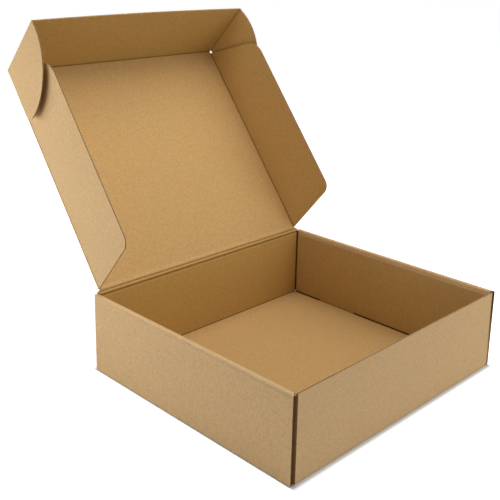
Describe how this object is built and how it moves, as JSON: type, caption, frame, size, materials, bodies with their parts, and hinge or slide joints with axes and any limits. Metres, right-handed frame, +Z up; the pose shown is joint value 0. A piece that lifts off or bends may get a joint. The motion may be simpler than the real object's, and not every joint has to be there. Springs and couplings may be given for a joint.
{
  "type": "corrugated mailer box",
  "caption": "Shallow folding mailer box of plain brown corrugated board with its hinged lid, side flaps, tuck flap and ears open.",
  "frame": {"origin": "middle of the underside of the tray's floor", "axes": "+X along the front wall to the right, +Y from the front wall to the lid's hinge, +Z up"},
  "size_m": [0.3656, 0.4949, 0.4064],
  "materials": {
    "board": "matt brown kraft paper over corrugated board"
  },
  "bodies": {
    "tray": {"tray": "board"},
    "lid_panel": {"lid_panel": "board"},
    "left_side_flap": {"left_side_flap": "board"},
    "right_side_flap": {"right_side_flap": "board"},
    "tuck_flap": {"tuck_flap": "board"},
    "left_ear": {"left_ear": "board"},
    "right_ear": {"right_ear": "board"}
  },
  "joints": [
    {"name": "lid_hinge", "type": "hinge", "parent": "tray", "child": "lid_panel", "pos_m": [0, 0.15425, 0.09625], "axis": [-1, 0, 0], "range_deg": [-109, 62]},
    {"name": "left_side_flap_hinge", "type": "hinge", "parent": "lid_panel", "child": "left_side_flap", "pos_m": [-0.17055, 0.24599, 0.21729], "axis": [0, -0.6088, -0.7934], "range_deg": [-90, 0]},
    {"name": "right_side_flap_hinge", "type": "hinge", "parent": "lid_panel", "child": "right_side_flap", "pos_m": [0.17055, 0.24599, 0.21729], "axis": [0, 0.6088, 0.7934], "range_deg": [-90, 0]},
    {"name": "tuck_flap_hinge", "type": "hinge", "parent": "lid_panel", "child": "tuck_flap", "pos_m": [0, 0.33916, 0.33723], "axis": [-1, 0, 0], "range_deg": [-20, 80]},
    {"name": "left_ear_hinge", "type": "hinge", "parent": "tuck_flap", "child": "left_ear", "pos_m": [-0.17325, 0.33916, 0.33723], "axis": [0, 0.682, -0.7314], "range_deg": [-2, 84]},
    {"name": "right_ear_hinge", "type": "hinge", "parent": "tuck_flap", "child": "right_ear", "pos_m": [0.17325, 0.33916, 0.33723], "axis": [0, -0.682, 0.7314], "range_deg": [-2, 84]}
  ]
}
